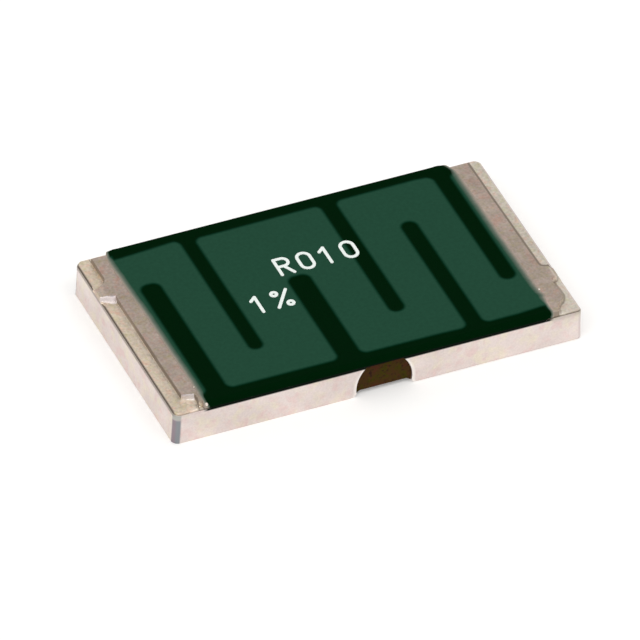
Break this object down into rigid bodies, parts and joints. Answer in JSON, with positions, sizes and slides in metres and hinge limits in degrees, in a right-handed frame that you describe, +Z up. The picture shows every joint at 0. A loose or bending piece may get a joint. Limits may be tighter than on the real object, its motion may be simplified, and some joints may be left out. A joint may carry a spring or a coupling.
{
  "type": "shunt resistor",
  "caption": "Flat surface-mount shunt resistor: a lacquered foil meander on two tinned copper terminal plates with a filled gap between them.",
  "frame": {"origin": "centre of the underside, between the two solder faces", "axes": "+X along the length from the left to the right terminal, +Y across the width to the back, +Z up to the lacquered side"},
  "size_m": [0.0072, 0.0042, 0.0007],
  "materials": {
    "tinned_copper": "copper with a matt tin plating",
    "plated_contact": "grainy matt tin plating",
    "resistance_alloy": "etched resistance alloy foil",
    "adhesive": "cured adhesive film",
    "filler": "cured brown filler",
    "green_lacquer": "satin green protective lacquer",
    "white_ink": "white ink print"
  },
  "bodies": {
    "root": {"left_base_plate": "tinned_copper", "right_base_plate": "tinned_copper", "gap_filler": "filler", "bond_film": "adhesive", "resistor_foil": "resistance_alloy", "left_contact": "plated_contact", "right_contact": "plated_contact", "lacquer": "green_lacquer", "value_print": "white_ink"}
  },
  "joints": []
}
